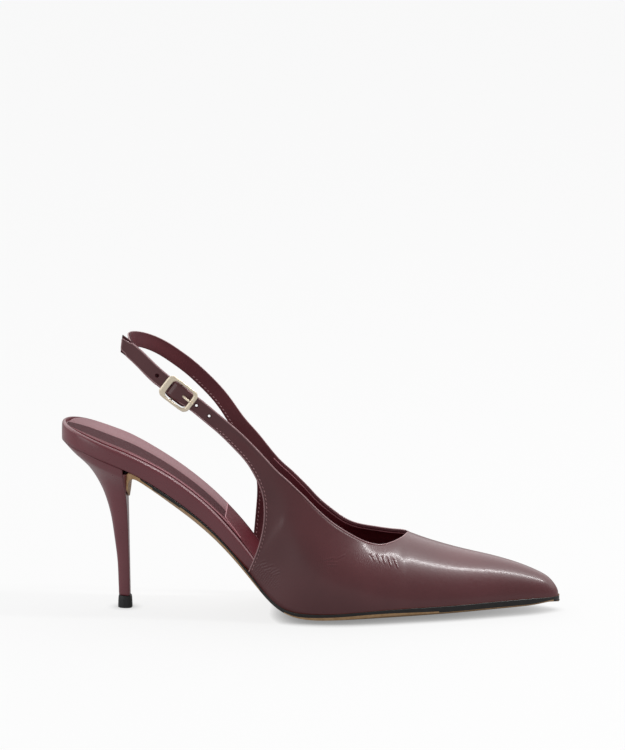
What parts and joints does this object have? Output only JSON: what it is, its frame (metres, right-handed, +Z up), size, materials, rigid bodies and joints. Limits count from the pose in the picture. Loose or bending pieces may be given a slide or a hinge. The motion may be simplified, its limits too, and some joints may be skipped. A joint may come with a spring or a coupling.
{
  "type": "slingback pump",
  "caption": "Right slingback pump with a pointed toe, a slender high heel, a cut-away back quarter and a heel strap fastened by a small gold buckle",
  "frame": {"origin": "middle of the heel tip's floor face", "axes": "+X from the heel to the toe along the floor, +Y to the wearer's left (the inner side of this right shoe), +Z up from the floor"},
  "size_m": [0.2443, 0.07, 0.1415],
  "materials": {
    "upper": "smooth semi-gloss burgundy leather",
    "insole_board": "the same burgundy leather wrapped over the board",
    "sock_lining": "satin red leather sock",
    "outsole": "tan leather sole with a black painted edge",
    "heel": "burgundy leather covering over a moulded heel",
    "top_piece": "black moulded top piece",
    "buckle_frame": "polished pale gold",
    "buckle_prong": "polished pale gold"
  },
  "bodies": {
    "root": {"upper": "upper", "insole_board": "insole_board", "sock_lining": "sock_lining", "outsole": "outsole", "heel": "heel", "top_piece": "top_piece", "buckle_frame": "buckle_frame", "buckle_prong": "buckle_prong"}
  },
  "joints": []
}
